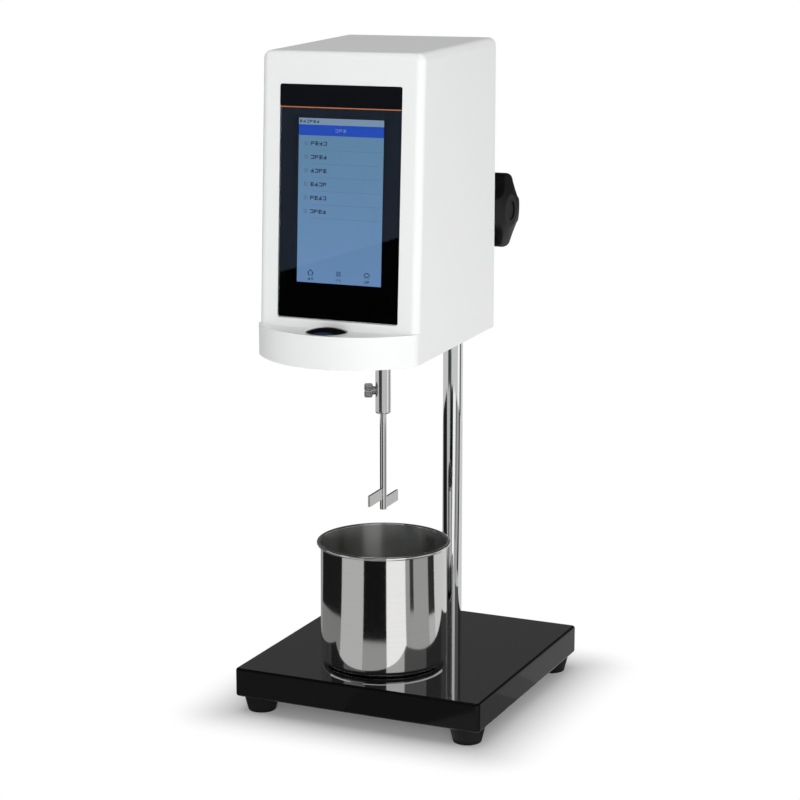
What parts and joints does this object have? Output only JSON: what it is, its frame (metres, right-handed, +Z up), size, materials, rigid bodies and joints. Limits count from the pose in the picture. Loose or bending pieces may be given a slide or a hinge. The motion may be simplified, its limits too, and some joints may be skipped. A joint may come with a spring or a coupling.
{
  "type": "rotational viscometer",
  "caption": "Bench rotational viscometer: an instrument head with display and paddle rotor that a rack and pinion lifts on a column over a steel cup on a footed plate.",
  "frame": {"origin": "middle of the whole object's footprint, on the surface that the feet stand on", "axes": "+Z up along the column, -Y towards the operator (display side), +X to the operator's right"},
  "size_m": [0.19, 0.2736, 0.48],
  "materials": {
    "plate": "black lacquer, high gloss",
    "foot_rubber": "matt black rubber",
    "screw_steel": "zinc-plated steel",
    "column_chrome": "bright chrome plate",
    "cap_plastic": "black plastic",
    "rack_steel": "milled steel",
    "cup_steel": "polished stainless steel",
    "carriage_metal": "black powder coat",
    "bush_plastic": "acetal",
    "spring_steel": "spring steel",
    "shaft_steel": "ground steel",
    "knob_plastic": "black phenolic",
    "knob_cap_plastic": "matt black plastic",
    "shell_plastic": "white, satin to gloss",
    "panel_black": "black mirror gloss",
    "display_case": "dark display frame",
    "ring_chrome": "bright ring",
    "button_plastic": "black gloss",
    "switch_plastic": "black plastic",
    "sheet_steel": "zinc-plated sheet",
    "rear_sheet": "light grey powder coat",
    "port_steel": "tin-plated steel",
    "chassis_aluminium": "plain aluminium",
    "housing_aluminium": "turned aluminium",
    "gear_brass": "cut brass",
    "disc_metal": "etched steel",
    "motor_case": "black lacquer",
    "collar_steel": "turned stainless steel",
    "thumbscrew_steel": "knurled stainless steel",
    "rotor_steel": "polished stainless steel",
    "standoff_brass": "turned brass",
    "board_laminate": "green solder mask",
    "module_case": "black moulded case"
  },
  "bodies": {
    "stand": {"base_plate": "plate", "feet": "foot_rubber", "foot_screws": "screw_steel", "column": "column_chrome", "column_cap": "cap_plastic", "column_bolt": "screw_steel", "column_washer": "screw_steel", "rack": "rack_steel", "rack_screws": "screw_steel"},
    "cup": {"sample_cup": "cup_steel"},
    "head": {"carriage": "carriage_metal", "guide_bushes": "bush_plastic", "pinion_bushes": "bush_plastic", "brake_pad": "bush_plastic", "brake_springs": "spring_steel", "brake_screw": "screw_steel", "carriage_bolts": "screw_steel", "head_shell": "shell_plastic", "glass_panel": "panel_black", "display_module": "display_case", "button_ring": "ring_chrome", "button_switch": "switch_plastic", "button_bracket": "sheet_steel", "bracket_screws": "screw_steel", "rear_panel": "rear_sheet", "panel_screws": "screw_steel", "switch_frame": "switch_plastic", "power_socket": "switch_plastic", "data_port": "port_steel", "chassis": "chassis_aluminium", "bearing_housing": "housing_aluminium", "housing_screws": "screw_steel", "bearing_outer_rings": "shaft_steel", "bearing_balls": "shaft_steel", "bearing_spacer": "housing_aluminium", "encoder_sensor": "switch_plastic", "motor": "motor_case", "motor_screws": "screw_steel", "board_standoffs": "standoff_brass", "main_board": "board_laminate", "board_screws": "screw_steel", "power_module": "module_case"},
    "knob": {"pinion_shaft": "shaft_steel", "lift_knob": "knob_plastic", "knob_screw": "screw_steel", "knob_cap": "knob_cap_plastic"},
    "spindle": {"spindle_shaft": "shaft_steel", "bearing_inner_rings": "shaft_steel", "spindle_gear": "gear_brass", "encoder_disc": "disc_metal", "coupling_collar": "collar_steel", "collar_set_screw": "screw_steel", "rotor_shaft": "rotor_steel", "paddle_blades": "rotor_steel"},
    "motor_rotor": {"motor_shaft": "shaft_steel", "motor_gear": "gear_brass"},
    "thumbscrew": {"thumbscrew": "thumbscrew_steel"},
    "button": {"button_cap": "button_plastic", "button_spring": "spring_steel"},
    "rocker": {"switch_rocker": "switch_plastic"}
  },
  "joints": [
    {"name": "head_slide", "type": "slide", "parent": "stand", "child": "head", "axis": [0, 0, 1], "range_m": [-0.0785, 0.0188]},
    {"name": "knob_turn", "type": "hinge", "parent": "head", "child": "knob", "pos_m": [0, 0.1093, 0.3495], "axis": [1, 0, 0], "range_deg": [-565, 137]},
    {"name": "spindle_turn", "type": "hinge", "parent": "head", "child": "spindle", "pos_m": [0, -0.0313, 0.3], "axis": [0, 0, 1], "continuous": true},
    {"name": "motor_turn", "type": "hinge", "parent": "head", "child": "motor_rotor", "pos_m": [0, 0.0007, 0.33], "axis": [0, 0, 1], "continuous": true},
    {"name": "thumbscrew_turn", "type": "hinge", "parent": "spindle", "child": "thumbscrew", "pos_m": [0, -0.0313, 0.2359], "axis": [-0.9063, -0.4226, 0], "range_deg": [0, 360]},
    {"name": "button_press", "type": "slide", "parent": "head", "child": "button", "axis": [0, 0, -1], "range_m": [0, 0.0015], "stiffness_N_per_m": 600, "deforming": ["button_spring"]},
    {"name": "rocker_tilt", "type": "hinge", "parent": "head", "child": "rocker", "pos_m": [-0.034, 0.0302, 0.436], "axis": [1, 0, 0], "range_deg": [-18, 0]},
    {"name": "cup_lift", "type": "slide", "parent": "stand", "child": "cup", "axis": [0, 0, 1], "range_m": [0, 0.025]}
  ],
  "couplings": [
    {"joint": "knob_turn", "follows": "head_slide", "rad_per_m": 125},
    {"joint": "motor_turn", "follows": "spindle_turn", "ratio": -3}
  ]
}
